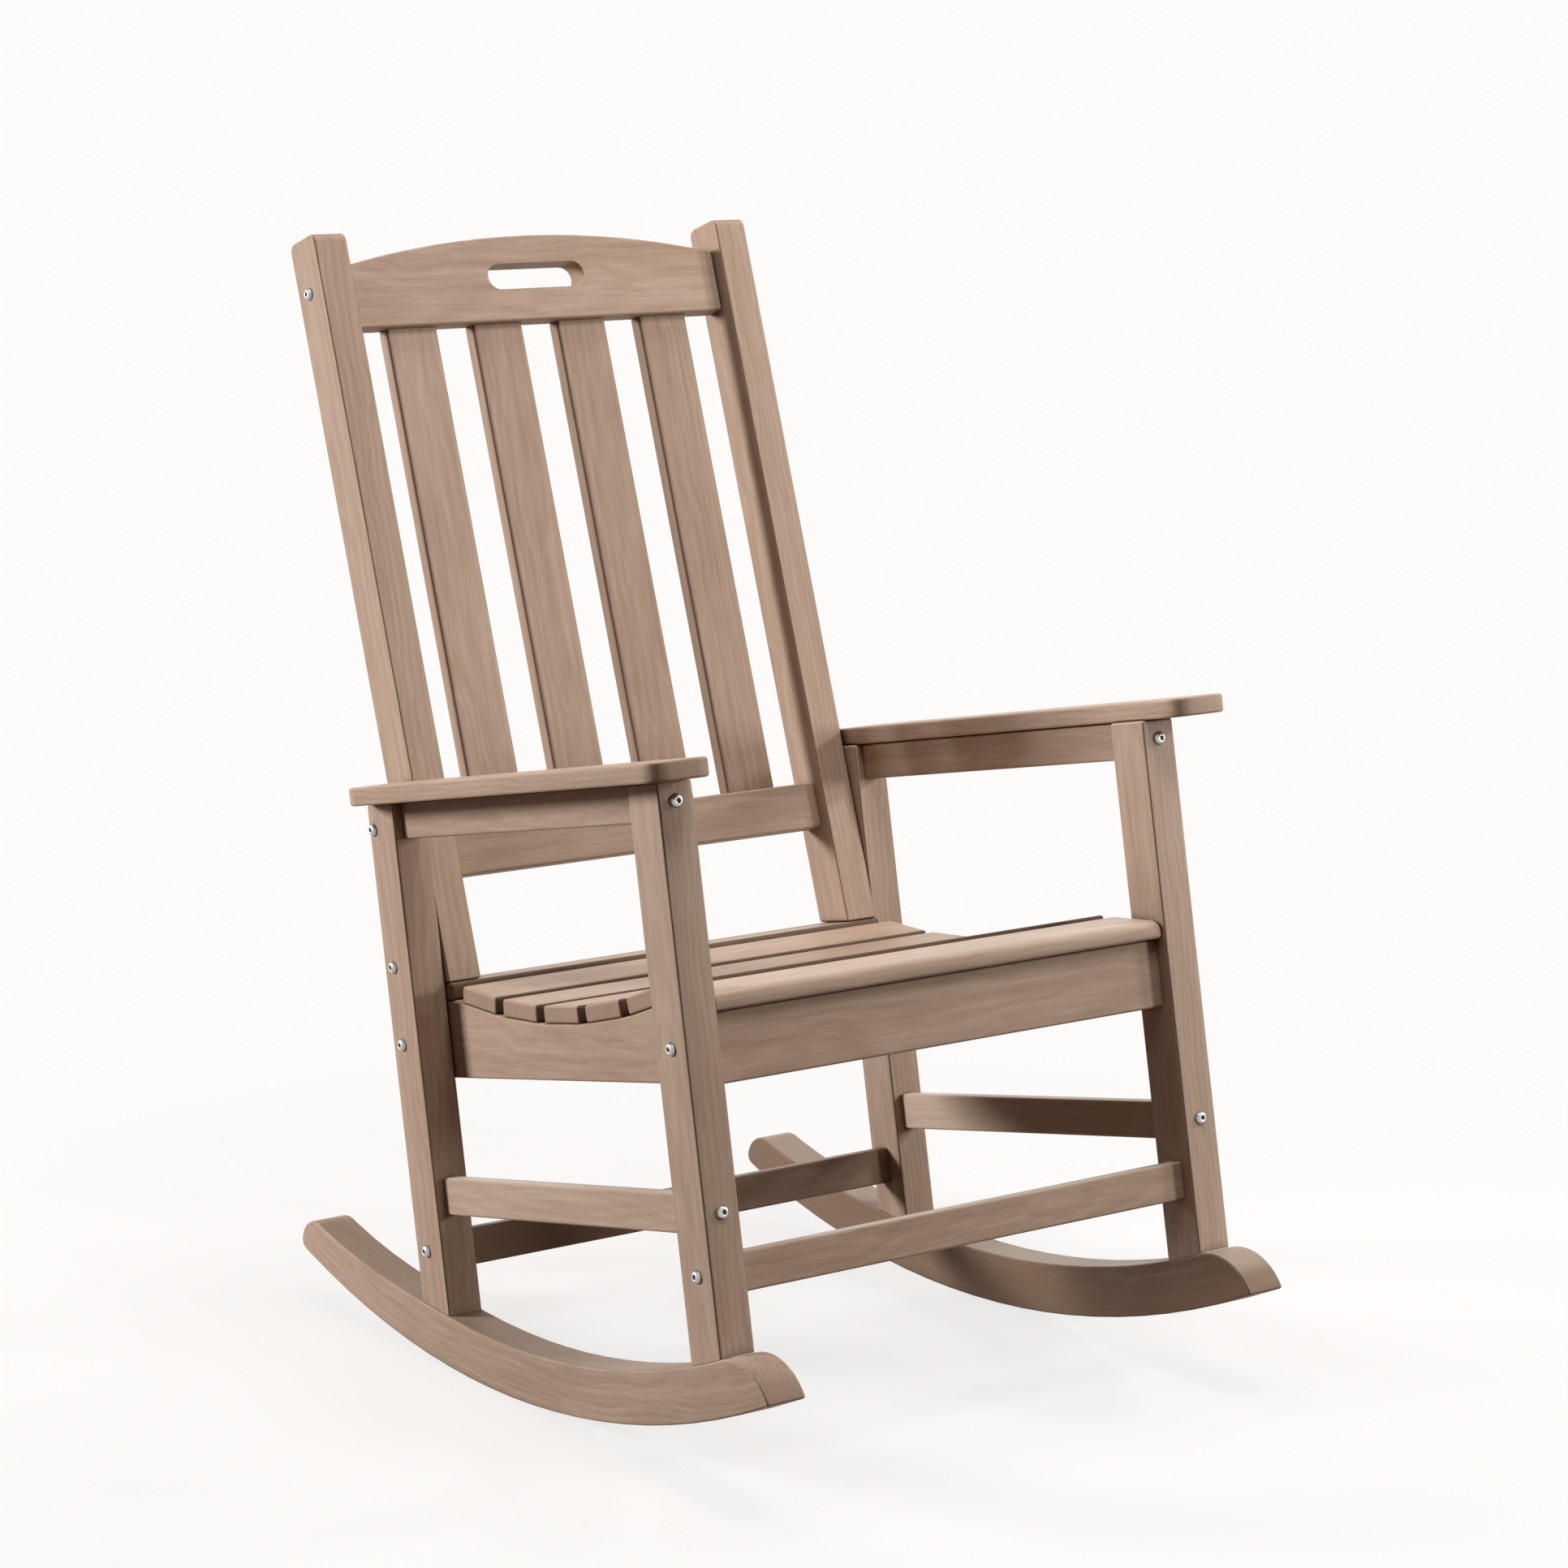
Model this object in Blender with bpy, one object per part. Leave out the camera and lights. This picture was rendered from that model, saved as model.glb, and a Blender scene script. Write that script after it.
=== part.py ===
"""A porch rocking chair of grained boards, bolted together, standing at its resting lean.

Sizes are in metres. The chair is laid out upright in its own frame: x to the side, y from the
front legs to the back, z up from the rocker top under the front legs. That frame is then leaned
back by REST_LEAN, as the chair comes to rest on its rockers, and set down on the floor.
"""

import math

import bmesh
import bpy
from mathutils import Matrix, Vector

# Joints and edges
GAP = 0.0003
EDGE_R = 0.0025
EDGE_STEPS = 2
END_REACH = 0.0001
SHARP_ANGLE = math.radians(40)
CORNER_STEPS = 3

# Leans, from the upright
REST_LEAN = math.radians(11)
BACK_LEAN = math.radians(7.7)

# Legs and boards
LEG_SPAN = 0.600
LEG_W = 0.038
LEG_D = 0.0495
LEG_TOP = 0.5165
REAR_LEG_Y = 0.472
BOARD_T = 0.018
RAIL_H = 0.037

# Rockers
ROCKER_T = 0.042
ROCK_R = 1.115
ROCK_Y = 0.2133
ROCK_LOW = 0.0726
ROCK_STEP = math.radians(2)
ROCKER_H = 0.051
THIN_START = math.radians(14.5)
TAIL_H = 0.039
TOE_Y = -0.070
TOE_R = 0.060
TOE_STEPS = 10
TAIL_Y = 0.758
TAIL_TOP_R = 0.028
TAIL_STEPS = 6
FILLET_REACH = 1.25
FILLET_SHARE = 0.9

# Arms
ARM_T = 0.018
ARM_CLEAR = 0.004
ARM_W = 0.069
ARM_OVERHANG = 0.0485
ARM_REAR_SET = 0.006
ARM_FRONT_R = 0.020
ARM_REAR_R = 0.034
ARM_INNER_R = 0.006

# Seat
SEAT_RAIL_Z = 0.240
FRONT_RAIL_SET = 0.0143
REAR_RAIL_SET = 0.022
DISH_R = 0.800
DISH_SHARE = 0.5625
DISH_Z = 0.2943
DISHED_SLATS = 5
SLAT_W = 0.0625
SLAT_T = 0.017
SLAT_SPACE = 0.0122
SLAT_END_CLEAR = 0.0005
SLAT_R = 0.003
FRONT_SLAT_Z = 0.306
FRONT_SLAT_LEAN = math.radians(4.5)
FRONT_SLAT_SET = 0.004
NOSE_R = 0.011
REAR_SLAT_RISE = 0.0025
REAR_SLAT_SPACE = 0.016
REAR_SLAT_W = 0.056

# Back
POST_W = 0.0375
POST_D = 0.051
POST_SET = 0.0065
POST_FOOT_GAP = 0.0005
POST_TOP = 0.760
POST_TOP_R = 0.009
CREST_LOW = 0.664
CREST_END_H = 0.0645
CREST_RISE = 0.025
CREST_STEPS = 16
BACK_RAIL_T = 0.026
BACK_RAIL_SET = 0.015
GRIP_LENGTH = 0.117
GRIP_H = 0.027
GRIP_LOW = 0.033
GRIP_STEPS = 8
LOWER_RAIL_LOW = 0.104
LOWER_RAIL_H = 0.048
BACK_SLATS = 4
BACK_SLAT_W = 0.061
BACK_SLAT_T = 0.018
BACK_SLAT_SET = 0.0105
BACK_SLAT_R = 0.0055
TENON_L = 0.012
TENON_T = 0.010
TENON_SHOULDER = 0.009
SLAT_TENON_INSET = 0.008
TENON_R = 0.002

# Stretchers
STRETCHER_H = 0.0365
SIDE_STRETCHER_Z = 0.127
CROSS_STRETCHER_Z = 0.071
FRONT_STRETCHER_SET = 0.0132
REAR_STRETCHER_SET = 0.020

# Bolts
BOLT_R = 0.003
BOLT_HEAD_R = 0.007
BOLT_HEAD_H = 0.0038
BOLT_HEAD_SHARES = ((1, 0), (0.9, 0.65), (0.55, 1))
BOLT_SOCKET_R = 0.0029
BOLT_SOCKET_DEPTH = 0.0024
BOLT_SIDES = 12
BOLT_BITE = 0.030
BORE_MARGIN = 0.001
BORE_OUTSIDE = 0.006
UPPER_POST_BOLT_IN = 0.0405
UPPER_POST_BOLT_DROP = 0.0255
LOWER_POST_BOLT_IN = 0.0317
LOWER_POST_BOLT_UP = 0.0205
SEAT_BOLT_UP = 0.038
STRETCHER_BOLT_LIFT = 0.0025
REAR_ARM_BOLT_DROP = 0.010
CREST_BOLT_UP = 0.040
SCREW_SINK = 0.010
SCREW_BITE = 0.038

# Finish
BOARD_COLOUR = (0.42, 0.31, 0.235)
BOARD_ROUGHNESS = 0.62
STEEL_COLOUR = (0.62, 0.61, 0.59)
STEEL_ROUGHNESS = 0.28

LEG_X = LEG_SPAN / 2 - LEG_W / 2
INNER_X = LEG_SPAN / 2 - LEG_W
POST_X = INNER_X - GAP - POST_W / 2
DISH_Y = DISH_SHARE * REAR_LEG_Y
POST_INNER_X = POST_X - POST_W / 2
SIDES = {"left": -1, "right": 1}

CHAIR = Matrix.Rotation(-REST_LEAN, 4, "X")


def clear_scene():
    for obj in list(bpy.data.objects):
        bpy.data.objects.remove(obj)


def material(name, colour, roughness, metallic):
    made = bpy.data.materials.new(name)
    made.use_nodes = True
    shader = made.node_tree.nodes["Principled BSDF"]
    shader.inputs["Base Color"].default_value = (*colour, 1)
    shader.inputs["Roughness"].default_value = roughness
    shader.inputs["Metallic"].default_value = metallic
    return made


def add_object(name, mesh, matrix):
    obj = bpy.data.objects.new(name, mesh)
    obj.matrix_world = matrix
    bpy.context.scene.collection.objects.link(obj)
    return obj


def along(axis, first, second, depth):
    """The point with this depth on the axis and the two other coordinates in order."""
    values = [first, second]
    values.insert("XYZ".index(axis), depth)
    return Vector(values)


def prism(outline, axis, low, high, centre):
    """A closed prism of an outline, from low to high on an axis, with its points taken from the centre."""
    bm = bmesh.new()
    rings = []
    for depth in (low, high):
        rings.append([bm.verts.new(along(axis, a, b, depth) - centre) for a, b in outline])
    bm.faces.new(rings[0])
    bm.faces.new(reversed(rings[1]))
    for i in range(len(outline)):
        j = (i + 1) % len(outline)
        bm.faces.new((rings[0][i], rings[0][j], rings[1][j], rings[1][i]))
    bmesh.ops.recalc_face_normals(bm, faces=bm.faces)
    return bm


def as_mesh(name, bm):
    mesh = bpy.data.meshes.new(name)
    bm.to_mesh(mesh)
    bm.free()
    return mesh


def round_edges(bm, radius, square):
    """Rounds the outer edges, apart from those that lie whole within a cut end."""
    sharp = [edge for edge in bm.edges if edge.is_convex and edge.calc_face_angle() > SHARP_ANGLE]
    sharp = [edge for edge in sharp if not square(*(vert.co for vert in edge.verts))]
    bmesh.ops.bevel(
        bm, geom=sharp, offset=radius, offset_type="OFFSET", segments=EDGE_STEPS, profile=0.5, affect="EDGES"
    )


def no_end(first, second):
    return False


def ends_along(axis):
    """Makes a test of whether both points of an edge lie in the same end along this axis."""
    return lambda first, second: abs(first[axis] - second[axis]) < END_REACH


def foot_end(first, second):
    """Tells whether an edge of a centred leg lies in its foot."""
    return first.z < 0 and second.z < 0


def board(name, outline, axis, low, high, frame=CHAIR, radius=EDGE_R, square=no_end):
    """A board of one outline, with rounded edges, placed at the middle of its own box."""
    firsts, seconds = zip(*outline)
    centre = along(
        axis, (min(firsts) + max(firsts)) / 2, (min(seconds) + max(seconds)) / 2, (low + high) / 2
    )
    bm = prism(outline, axis, low, high, centre)
    if radius:
        round_edges(bm, radius, square)
    mesh = as_mesh(name, bm)
    mesh.materials.append(material(name, BOARD_COLOUR, BOARD_ROUGHNESS, 0))
    return add_object(name, mesh, frame @ Matrix.Translation(centre))


def box(low_a, low_b, high_a, high_b):
    return [(low_a, low_b), (high_a, low_b), (high_a, high_b), (low_a, high_b)]


def fillet(before, corner, after, radius, steps=CORNER_STEPS):
    """The points of an arc that rounds a corner between two straight edges."""
    before, corner, after = Vector(before), Vector(corner), Vector(after)
    to_before, to_after = (before - corner).normalized(), (after - corner).normalized()
    half = to_before.angle(to_after) / 2
    middle = corner + (to_before + to_after).normalized() * radius / math.sin(half)
    start = corner + to_before * radius / math.tan(half)
    turn = (start - middle).angle_signed(corner + to_after * radius / math.tan(half) - middle)
    arm = start - middle
    return [tuple(middle + Matrix.Rotation(-turn * i / steps, 2) @ arm) for i in range(steps + 1)]


def rounded(corners):
    """The outline of ((a, b), radius) corners, with each radius above 0 made an arc."""
    outline = []
    for i, (corner, radius) in enumerate(corners):
        before, after = corners[i - 1][0], corners[(i + 1) % len(corners)][0]
        outline += fillet(before, corner, after, radius) if radius else [corner]
    return outline


def arc(centre, radius, first, last, steps):
    """Points on a circle, at angles from straight down, turning towards the first axis."""
    angles = [first + (last - first) * i / steps for i in range(steps + 1)]
    return [(centre[0] + radius * math.sin(a), centre[1] - radius * math.cos(a)) for a in angles]


def rocker_point(angle, inset):
    """The point this far in from the rolling circle, at an angle from straight down towards the rear."""
    radius = ROCK_R - inset
    return ROCK_Y + radius * math.sin(angle), ROCK_R - ROCK_LOW - radius * math.cos(angle)


def rolling_angle(y):
    return math.asin((y - ROCK_Y) / ROCK_R)


def tail_low_r():
    """The lower rounding of the tail, which takes most of what the upper one leaves."""
    return FILLET_SHARE * (TAIL_H - TAIL_TOP_R)


def rocker_bottom():
    """The rolling edge from toe to tail, as chords of which one lies flat on the floor at rest."""
    toe, tail = rolling_angle(TOE_Y), rolling_angle(TAIL_Y)
    reach = FILLET_REACH * tail_low_r() / ROCK_R
    first = math.ceil((toe - REST_LEAN) / ROCK_STEP)
    last = math.floor((tail - reach - REST_LEAN) / ROCK_STEP - 0.5)
    angles = [toe] + [REST_LEAN + (i + 0.5) * ROCK_STEP for i in range(first, last + 1)] + [tail]
    return [rocker_point(angle, 0) for angle in angles]


def rocker_height(angle):
    """The rocker's height, which thins out evenly behind the rear leg."""
    part = (angle - THIN_START) / (rolling_angle(TAIL_Y) - THIN_START)
    part = min(max(part, 0), 1)
    return ROCKER_H - (ROCKER_H - TAIL_H) * part * part * (3 - 2 * part)


def rocker_toe():
    """The rounded toe from the top edge to short of the tip, and the angle where it leaves that edge."""
    tip_angle = rolling_angle(TOE_Y)
    centre_r = ROCK_R - ROCKER_H + TOE_R
    cosine = (centre_r**2 + ROCK_R**2 - TOE_R**2) / (2 * centre_r * ROCK_R)
    leave_angle = tip_angle + math.acos(cosine)
    middle = Vector(rocker_point(leave_angle, ROCK_R - centre_r))
    arm = Vector(rocker_point(leave_angle, ROCKER_H)) - middle
    turn = arm.angle_signed(Vector(rocker_point(tip_angle, 0)) - middle)
    arms = [Matrix.Rotation(-turn * i / TOE_STEPS, 2) @ arm for i in range(TOE_STEPS)]
    return [tuple(middle + arm) for arm in arms], leave_angle


def rocker_top():
    """The top edge from short of the tail's rounding to the toe's tip."""
    toe, leave_angle = rocker_toe()
    rear = rolling_angle(TAIL_Y) - FILLET_REACH * TAIL_TOP_R / ROCK_R
    count = math.ceil((rear - leave_angle) / ROCK_STEP)
    angles = [rear + (leave_angle - rear) * i / count for i in range(count)]
    return [rocker_point(angle, rocker_height(angle)) for angle in angles] + toe


def height_on(edge, y):
    """The height of an edge, given as points from rear to front, over one depth."""
    for (rear_y, rear_z), (front_y, front_z) in zip(edge, edge[1:]):
        if front_y <= y <= rear_y:
            return front_z + (rear_z - front_z) * (y - front_y) / (rear_y - front_y)
    raise ValueError("the edge doesn't reach that depth")


def rocker_outline():
    bottom, top = rocker_bottom(), rocker_top()
    corner = rocker_point(rolling_angle(TAIL_Y), TAIL_H)
    low_end = fillet(bottom[-2], bottom[-1], corner, tail_low_r())
    high_end = fillet(bottom[-1], corner, top[0], TAIL_TOP_R, TAIL_STEPS)
    return bottom[:-1] + low_end + high_end + top


def rockers():
    for side, sign in SIDES.items():
        middle = sign * LEG_X
        board(f"rocker_{side}", rocker_outline(), "X", middle - ROCKER_T / 2, middle + ROCKER_T / 2)


def leg_outline(front):
    """A leg's side, with its foot cut to the rocker's top edge."""
    top = rocker_top()
    rear = front + LEG_D
    inner = [y for y, _ in reversed(top) if front + EDGE_R < y < rear - EDGE_R]
    foot = [(y, height_on(top, y) + GAP) for y in [front, *inner, rear]]
    return foot + [(rear, LEG_TOP), (front, LEG_TOP)]


def legs():
    for side, sign in SIDES.items():
        for place, front in (("front", 0), ("rear", REAR_LEG_Y)):
            low = sign * LEG_X - LEG_W / 2
            outline = leg_outline(front)
            board(f"{place}_leg_{side}", outline, "X", low, low + LEG_W, square=foot_end)


def armrests():
    inner = INNER_X + ARM_CLEAR
    front, rear = -ARM_OVERHANG, REAR_LEG_Y + LEG_D - ARM_REAR_SET
    corners = (
        ((inner, front), ARM_FRONT_R),
        ((inner + ARM_W, front), ARM_FRONT_R),
        ((inner + ARM_W, rear), ARM_REAR_R),
        ((inner, rear), ARM_INNER_R),
    )
    for side, sign in SIDES.items():
        outline = [(sign * x, y) for x, y in rounded(corners)]
        board(f"armrest_{side}", outline, "Z", LEG_TOP + GAP, LEG_TOP + GAP + ARM_T)


def side_board(name, sign, low_z, high_z):
    """A board between a front and a rear leg, on the middle of their width."""
    low = sign * LEG_X - BOARD_T / 2
    outline = box(LEG_D + GAP, low_z, REAR_LEG_Y - GAP, high_z)
    return board(name, outline, "X", low, low + BOARD_T, square=ends_along(1))


def cross_board(name, front, low_z, high_z):
    """A board from leg to leg across the chair."""
    outline = box(front, low_z, front + BOARD_T, high_z)
    return board(name, outline, "X", GAP - INNER_X, INNER_X - GAP, square=ends_along(0))


def frame_boards():
    half = STRETCHER_H / 2
    for side, sign in SIDES.items():
        side_board(f"arm_rail_{side}", sign, LEG_TOP - RAIL_H, LEG_TOP)
        side_board(f"side_stretcher_{side}", sign, SIDE_STRETCHER_Z - half, SIDE_STRETCHER_Z + half)
    low, high = CROSS_STRETCHER_Z - half, CROSS_STRETCHER_Z + half
    cross_board("front_stretcher", FRONT_STRETCHER_SET, low, high)
    cross_board("rear_stretcher", REAR_LEG_Y + REAR_STRETCHER_SET, low, high)


def dish_seats():
    """The two bottom corners (rear, front) of each dished slat, from the rearmost slat forward."""
    step = (SLAT_W + SLAT_SPACE) / DISH_R
    seats = []
    for i in range(DISHED_SLATS):
        angle = step * ((DISHED_SLATS - 1) / 2 - i)
        slope = Vector((math.cos(angle), math.sin(angle))) * SLAT_W / 2
        touch = Vector((DISH_Y + DISH_R * math.sin(angle), DISH_Z + DISH_R * (1 - math.cos(angle))))
        seats.append((touch + slope, touch - slope))
    return seats


def rear_seat(seats):
    rear = seats[0][0] + Vector((REAR_SLAT_SPACE, REAR_SLAT_RISE))
    return rear + Vector((REAR_SLAT_W, 0)), rear


def front_seat(seats):
    rear_y = seats[-1][1].x - SLAT_SPACE
    rise = math.tan(FRONT_SLAT_LEAN)
    front = Vector((FRONT_SLAT_SET, FRONT_SLAT_Z))
    return front + Vector((rear_y - front.x, (rear_y - front.x) * rise)), front


def slat_outline(rear, front, nose):
    """A seat slat's cross-section on its two bottom corners, with its front top edge rounded by nose."""
    along_slat = (rear - front).normalized()
    up = Vector((-along_slat.y, along_slat.x)) * SLAT_T
    lift = Vector((0, GAP))
    points = (front + lift, rear + lift, rear + lift + up, front + lift + up)
    radii = (SLAT_R, SLAT_R, SLAT_R, nose)
    return rounded([(tuple(point), radius) for point, radius in zip(points, radii)])


def seat_slats():
    seats = dish_seats()
    half = INNER_X - SLAT_END_CLEAR
    everything = [rear_seat(seats)] + seats + [front_seat(seats)]
    for i, (rear, front) in enumerate(everything):
        nose = NOSE_R if i == len(everything) - 1 else SLAT_R
        board(f"seat_slat_{i + 1}", slat_outline(rear, front, nose), "X", -half, half)


def seat_rails():
    seats = dish_seats()
    rear, front = rear_seat(seats), front_seat(seats)
    front_y, rear_y = FRONT_RAIL_SET, REAR_LEG_Y + REAR_RAIL_SET
    cross_board("seat_front_rail", front_y, SEAT_RAIL_Z, FRONT_SLAT_Z)
    cross_board("seat_rear_rail", rear_y, SEAT_RAIL_Z, rear[1].y)
    first, last = front_y + BOARD_T + GAP, rear_y - GAP
    slope = math.tan(FRONT_SLAT_LEAN)
    top = [(last, rear[1].y), tuple(rear[1])]
    for pair in seats:
        top += [tuple(point) for point in pair]
    top += [tuple(front[0]), (first, front[1].y + (first - front[1].x) * slope)]
    outline = [(first, SEAT_RAIL_Z), (last, SEAT_RAIL_Z)] + top
    for side, sign in SIDES.items():
        outer = sign * (INNER_X - GAP)
        low, high = sorted((outer, outer - sign * BOARD_T))
        board(f"seat_side_rail_{side}", outline, "X", low, high)


def post_foot_z():
    return rear_seat(dish_seats())[1].y + GAP + SLAT_T + POST_FOOT_GAP


def back_frame():
    """The leaned frame of the back: from the front lower edge of the posts, z up along them."""
    foot = Matrix.Translation((0, REAR_LEG_Y - POST_SET, post_foot_z()))
    return CHAIR @ foot @ Matrix.Rotation(-BACK_LEAN, 4, "X")


def back_posts(frame):
    """The posts, each with a level foot on the rear slat and rounded top edges."""
    foot_drop = POST_D * math.tan(BACK_LEAN)
    corners = (
        ((0, 0), 0),
        ((POST_D, foot_drop), 0),
        ((POST_D, POST_TOP), POST_TOP_R),
        ((0, POST_TOP), POST_TOP_R),
    )
    posts = {}
    for side, sign in SIDES.items():
        low = sign * POST_X - POST_W / 2
        posts[side] = board(f"back_post_{side}", rounded(corners), "X", low, low + POST_W, frame)
    return posts


def crest_outline():
    half = POST_INNER_X - GAP
    radius = (half**2 + CREST_RISE**2) / (2 * CREST_RISE)
    spread = math.asin(half / radius)
    peak = CREST_LOW + CREST_END_H + CREST_RISE
    angles = [spread - 2 * spread * i / CREST_STEPS for i in range(CREST_STEPS + 1)]
    top = [(radius * math.sin(a), peak - radius * (1 - math.cos(a))) for a in angles]
    return [(-half, CREST_LOW), (half, CREST_LOW)] + top


def grip_outline():
    """The hand slot's outline, with round ends."""
    radius = GRIP_H / 2
    run = GRIP_LENGTH / 2 - radius
    middle = CREST_LOW + GRIP_LOW + radius
    right = arc((run, middle), radius, 0, math.pi, GRIP_STEPS)
    left = arc((-run, middle), radius, math.pi, 2 * math.pi, GRIP_STEPS)
    return right + left


def cutter(name, outline, axis, low, high, frame):
    cut = board(name, outline, axis, low, high, frame, radius=0)
    return as_cutter(cut)


def as_cutter(obj):
    obj.hide_render = True
    obj.display_type = "WIRE"
    return obj


def cut_from(obj, cut):
    modifier = obj.modifiers.new(cut.name, "BOOLEAN")
    modifier.operation = "DIFFERENCE"
    modifier.solver = "EXACT"
    modifier.object = cut


def crest_rail(frame):
    low, high = BACK_RAIL_SET, BACK_RAIL_SET + BACK_RAIL_T
    crest = board("crest_rail", crest_outline(), "Y", low, high, frame)
    cut_from(crest, cutter("grip_cut", grip_outline(), "Y", low - BOARD_T, high + BOARD_T, frame))
    return crest


def lower_rail(frame, posts):
    """The lower back rail, with a tenon at each end let into the post."""
    half = POST_INNER_X - GAP
    tip = half + TENON_L
    middle_y, middle_z = BACK_RAIL_SET + BACK_RAIL_T / 2, LOWER_RAIL_LOW + LOWER_RAIL_H / 2
    tenon_h = LOWER_RAIL_H - 2 * TENON_SHOULDER
    place = frame @ Matrix.Translation((0, middle_y, middle_z)) @ Matrix.Rotation(math.pi / 2, 4, "Y")
    body, tenon = (LOWER_RAIL_H, BACK_RAIL_T, EDGE_R), (tenon_h, TENON_T, TENON_R)
    rail = tenoned_board("lower_back_rail", body, tenon, 2 * half, place)
    low, high = middle_z - tenon_h / 2 - GAP, middle_z + tenon_h / 2 + GAP
    front, rear = middle_y - TENON_T / 2 - GAP, middle_y + TENON_T / 2 + GAP
    for side, sign in SIDES.items():
        ends = sorted((sign * (half - GAP), sign * (tip + GAP)))
        hole = box(ends[0], low, ends[1], high)
        cut_from(posts[side], cutter(f"rail_mortise_{side}", hole, "Y", front, rear, frame))
    return rail


def board_ring(width, depth, radius, z):
    """A rounded rectangle round the z axis, at one height."""
    corners = box(-width / 2, -depth / 2, width / 2, depth / 2)
    return [Vector((x, y, z)) for x, y in rounded([(corner, radius) for corner in corners])]


def tenoned_board(name, body, tenon, length, matrix):
    """A board along z with rounded long edges and a tenon at each end, both (width, depth, radius)."""
    half = length / 2
    tip = half + TENON_L
    rings = [board_ring(*tenon, -tip), board_ring(*tenon, -half), board_ring(*body, -half)]
    rings += [board_ring(*body, half), board_ring(*tenon, half), board_ring(*tenon, tip)]
    mesh = loft_mesh(name, rings)
    mesh.materials.append(material(name, BOARD_COLOUR, BOARD_ROUGHNESS, 0))
    return add_object(name, mesh, matrix)


def back_slats(frame, crest, rail):
    """The back slats, with a tenon at each end let into the rail below and the crest above."""
    space = (2 * POST_INNER_X - BACK_SLATS * BACK_SLAT_W) / (BACK_SLATS + 1)
    middle_y = BACK_RAIL_SET + BACK_SLAT_SET + BACK_SLAT_T / 2
    low, high = LOWER_RAIL_LOW + LOWER_RAIL_H + GAP, CREST_LOW - GAP
    reach = TENON_L + 2 * GAP
    half_hole = BACK_SLAT_W / 2 - SLAT_TENON_INSET + GAP
    front, rear = middle_y - TENON_T / 2 - GAP, middle_y + TENON_T / 2 + GAP
    body = (BACK_SLAT_W, BACK_SLAT_T, BACK_SLAT_R)
    tenon = (BACK_SLAT_W - 2 * SLAT_TENON_INSET, TENON_T, TENON_R)
    for i in range(BACK_SLATS):
        x = -POST_INNER_X + space + i * (BACK_SLAT_W + space) + BACK_SLAT_W / 2
        place = frame @ Matrix.Translation((x, middle_y, (low + high) / 2))
        tenoned_board(f"back_slat_{i + 1}", body, tenon, high - low, place)
        for where, obj, edge in (("low", rail, low), ("high", crest, high)):
            hole = box(x - half_hole, edge - reach, x + half_hole, edge + reach)
            cut_from(obj, cutter(f"slat_mortise_{where}_{i + 1}", hole, "Y", front, rear, frame))


def ring(radius, z):
    turns = [2 * math.pi * i / BOLT_SIDES for i in range(BOLT_SIDES)]
    return [Vector((radius * math.cos(t), radius * math.sin(t), z)) for t in turns]


def hexagon(radius, z):
    """A six-sided socket outline, with a point at each corner and at the middle of each side."""
    points = ring(radius, z)
    flat = math.cos(math.pi / 6)
    return [Vector((p.x * flat, p.y * flat, z)) if i % 2 else p for i, p in enumerate(points)]


def loft_mesh(name, rings):
    """A closed mesh through rings of as many points, with a flat cap at each end."""
    bm = bmesh.new()
    rows = [[bm.verts.new(point) for point in points] for points in rings]
    bm.faces.new(reversed(rows[0]))
    bm.faces.new(rows[-1])
    for low, high in zip(rows, rows[1:]):
        for i in range(len(low)):
            j = (i + 1) % len(low)
            bm.faces.new((low[i], low[j], high[j], high[i]))
    bmesh.ops.recalc_face_normals(bm, faces=bm.faces)
    return as_mesh(name, bm)


def bolt_mesh(name, length):
    """A button-head bolt with a hexagon socket, its head on z = 0 and its shank below."""
    rings = [ring(BOLT_R, -length), ring(BOLT_R, 0)]
    rings += [ring(BOLT_HEAD_R * part, BOLT_HEAD_H * height) for part, height in BOLT_HEAD_SHARES]
    rings += [hexagon(BOLT_SOCKET_R, z) for z in (BOLT_HEAD_H, BOLT_HEAD_H - BOLT_SOCKET_DEPTH)]
    mesh = loft_mesh(name, rings)
    mesh.materials.append(material(name, STEEL_COLOUR, STEEL_ROUGHNESS, 1))
    return mesh


def bolt(name, frame, seat, inward, length, boards):
    """A bolt with its head on the seat point and its shank inward through bored boards."""
    inward = Vector(inward)
    turn = Vector((0, 0, -1)).rotation_difference(inward).to_matrix().to_4x4()
    place = frame @ Matrix.Translation(Vector(seat) - inward * GAP) @ turn
    add_object(name, bolt_mesh(name, length), place)
    rings = [ring(BOLT_R + GAP, -length - BORE_MARGIN), ring(BOLT_R + GAP, BORE_OUTSIDE)]
    bore = as_cutter(add_object(f"bore_{name}", loft_mesh(f"bore_{name}", rings), place))
    for obj in boards:
        cut_from(obj, bore)
    return place


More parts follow.
